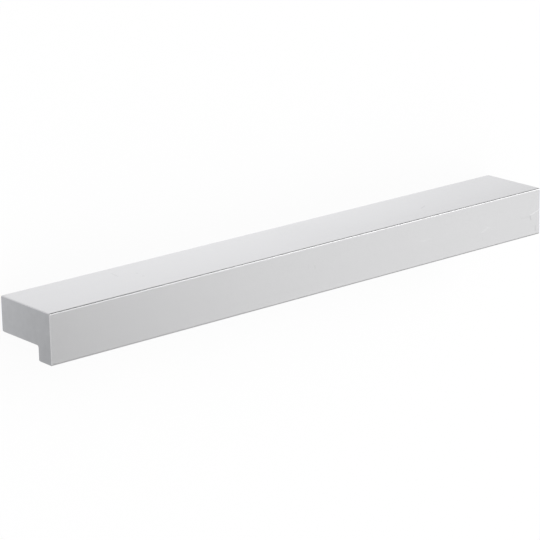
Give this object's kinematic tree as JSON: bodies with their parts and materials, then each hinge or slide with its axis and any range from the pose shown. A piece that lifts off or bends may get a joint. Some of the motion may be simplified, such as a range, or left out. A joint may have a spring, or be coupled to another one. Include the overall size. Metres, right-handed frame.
{
  "type": "cabinet handle",
  "caption": "Straight cabinet pull handle cut from extruded satin aluminium bar, with a front lip hanging below a solid block and tapped screw holes in its back.",
  "frame": {"origin": "on the mounting face, midway between the two screw holes", "axes": "+X along the bar, +Y up the door once the handle is fixed, +Z out of the door, from the mounting face to the front face"},
  "size_m": [0.17, 0.0135, 0.021],
  "materials": {
    "satin_anodised_aluminium": "satin, matt clear anodised"
  },
  "bodies": {
    "root": {"handle_bar": "satin_anodised_aluminium"}
  },
  "joints": []
}
